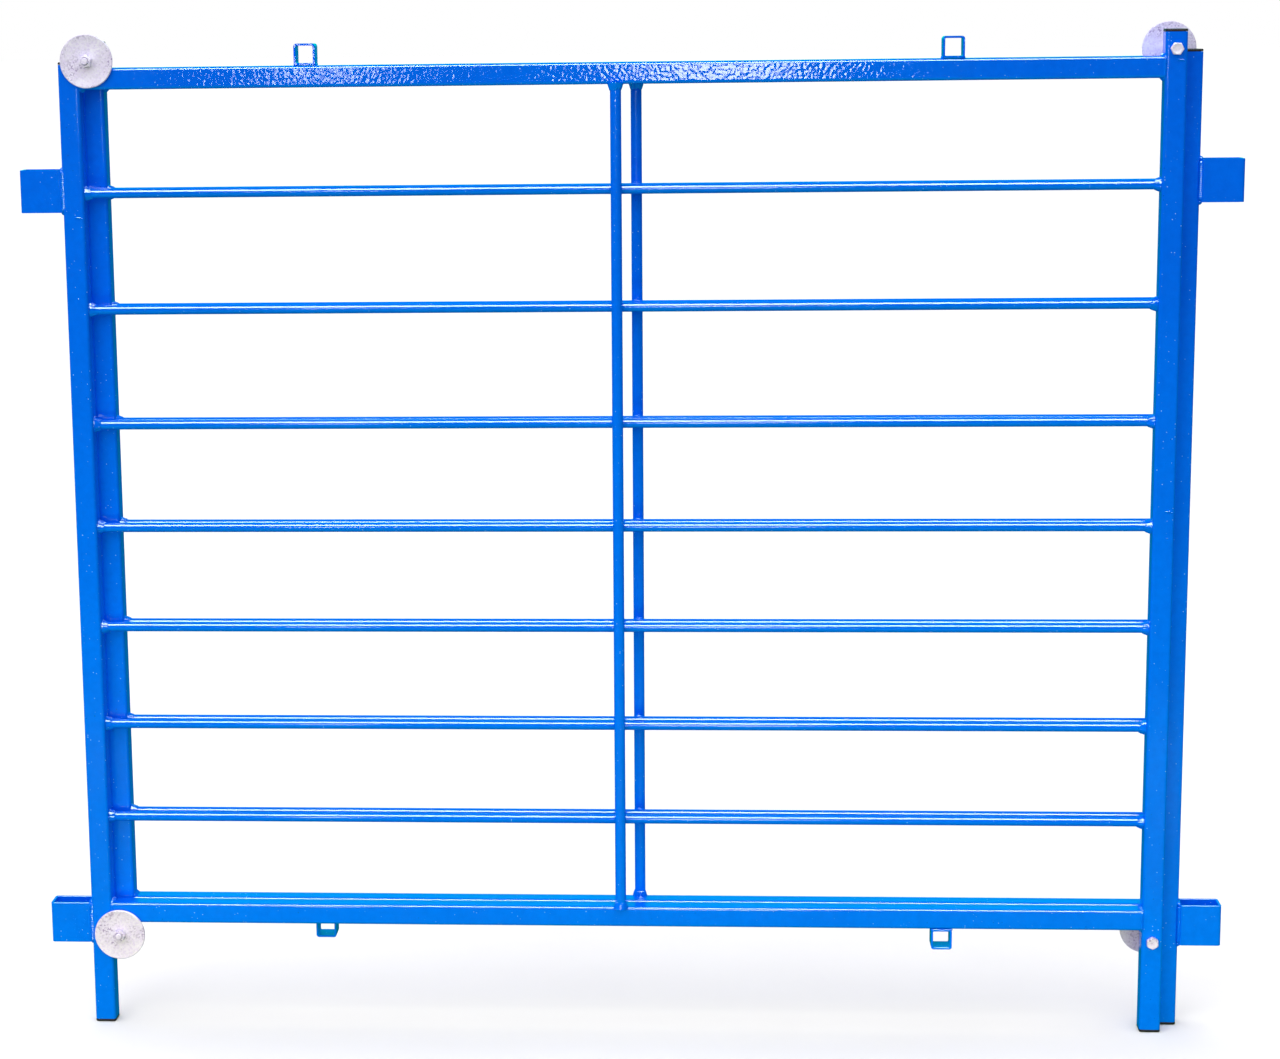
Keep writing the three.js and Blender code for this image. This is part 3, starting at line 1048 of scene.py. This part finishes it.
def make_world():
    """The camera sees plain white. A pale dome lights the hurdle, brightest overhead and dimmer
    to the right. What its gloss reflects is darker, so that highlights stand out: green behind
    and below, with two bright windows at eye level behind the camera."""
    world = bpy.data.worlds.new("studio")
    world.use_nodes = True
    bpy.context.scene.world = world
    tree = world.node_tree
    direction = add_node(tree, "ShaderNodeTexCoord").outputs["Generated"]
    split = add_node(tree, "ShaderNodeSeparateXYZ", {"Vector": direction})
    right, back, up = split.outputs
    rays = add_node(tree, "ShaderNodeLightPath").outputs

    dome = map_value(tree, up, 0.1, 1, 0.80, 1.75)
    dome = add_math(tree, "MULTIPLY", dome, map_value(tree, right, 0.1, 0.9, 1, 0.5))
    dome = add_math(tree, "MULTIPLY", dome, map_value(tree, up, -0.4, 0, 0.1, 1))
    inputs = {"Color": DOME_COLOUR, "Strength": dome}
    lighting = add_node(tree, "ShaderNodeBackground", inputs).outputs[0]

    below = map_value(tree, up, -0.05, -0.33, 0, 1)
    colour = mix_colour(tree, below, REFLECTED_WALL, REFLECTED_GROUND)
    behind = map_value(tree, back, 0.1, 0.6, 0, 1)
    upward = map_value(tree, up, -0.02, 0.05, 0, 1)
    far_side = mix_colour(tree, upward, REFLECTED_FAR_LOW, REFLECTED_FAR_HIGH)
    colour = mix_colour(tree, behind, colour, far_side)
    level = map_value(tree, up, -0.032, -0.022, 0, 1)
    level = add_math(tree, "MULTIPLY", level, map_value(tree, up, 0.15, 0.3, 1, 0))
    level = add_math(tree, "MULTIPLY", level, map_value(tree, back, -0.3, -0.5, 0, 1))
    patch = 0
    for middle, half, share in WINDOWS:
        away = add_math(tree, "ABSOLUTE", add_math(tree, "SUBTRACT", right, middle), 0)
        window = map_value(tree, away, half * 0.8, half * 1.2, share, 0)
        patch = add_math(tree, "MAXIMUM", patch, window)
    patch = add_math(tree, "MULTIPLY", patch, level)
    colour = mix_colour(tree, patch, colour, WINDOW_COLOUR)
    strength = map_value(tree, patch, 0, 1, 1, WINDOW_STRENGTH)
    reflected = add_node(tree, "ShaderNodeBackground", {"Color": colour, "Strength": strength})

    seen = add_node(tree, "ShaderNodeBackground", {"Color": WHITE}).outputs[0]
    inputs = {0: rays["Is Glossy Ray"], 1: lighting, 2: reflected.outputs[0]}
    mixed = add_node(tree, "ShaderNodeMixShader", inputs).outputs[0]
    inputs = {0: rays["Is Camera Ray"], 1: mixed, 2: seen}
    mixed = add_node(tree, "ShaderNodeMixShader", inputs).outputs[0]
    tree.links.new(mixed, tree.nodes["World Output"].inputs["Surface"])


# Lights: metres and watts. Places are from the hurdle's middle, or its foot for the low fill
KEY_PLACE = (-2.5, -4.5, 2.6)
KEY = {"size": (3, 3), "power": 60, "colour": (1, 1, 1)}
LOW_FILL_PLACE = (0, -0.9, 0.03)
LOW_FILL = {"size": (3, 0.3), "power": 13, "colour": (0.9, 0.85, 0.5)}
OVERHEAD_PLACE = (0, -2.3, 3.4)
OVERHEAD = {"size": (6, 2.3), "power": 1100, "colour": (0.78, 1.0, 0.94)}


def make_lights():
    """A soft key at the upper left and a warm fill near the floor light the hurdle. A wide
    window overhead shows only in its gloss."""
    middle = (cad_low + cad_high) / 2
    foot = Vector((middle.x, cad_low.y, 0))
    add_softbox("key", middle + Vector(KEY_PLACE), middle, seen_in="diffuse", **KEY)
    add_softbox("low_fill", foot + Vector(LOW_FILL_PLACE), middle, seen_in="diffuse", **LOW_FILL)
    add_softbox("overhead", middle + Vector(OVERHEAD_PLACE), middle, seen_in="gloss", **OVERHEAD)


# The camera: metres, radians, and millimetres for the lens and its sensor
CAMERA_PLACE = (0.0942, -3.3048, 1.2050)
CAMERA_TURN = 0.0656
CAMERA_DOWN = 0.1755
CAMERA_ROLL = -0.0124
CAMERA_LENS = 79.14
CAMERA_SENSOR = 36
CAMERA_SHIFT = (0.0894, -0.003)
CAMERA_REACH = 300


def make_camera():
    """The camera stands before the hurdle, about as high as its top, and looks down a little."""
    data = bpy.data.cameras.new("camera")
    data.sensor_width = CAMERA_SENSOR
    data.lens = CAMERA_LENS
    data.shift_x, data.shift_y = CAMERA_SHIFT
    data.clip_end = CAMERA_REACH
    camera = bpy.data.objects.new("camera", data)
    turn = Matrix.Rotation(CAMERA_TURN, 4, "Z")
    pitch = Matrix.Rotation(math.pi / 2 - CAMERA_DOWN, 4, "X")
    roll = Matrix.Rotation(CAMERA_ROLL, 4, "Z")
    camera.matrix_world = Matrix.Translation(CAMERA_PLACE) @ turn @ pitch @ roll
    bpy.context.scene.collection.objects.link(camera)
    bpy.context.scene.camera = camera


make_floor()
make_world()
make_lights()
make_camera()
bpy.context.scene.view_settings.view_transform = "Standard"
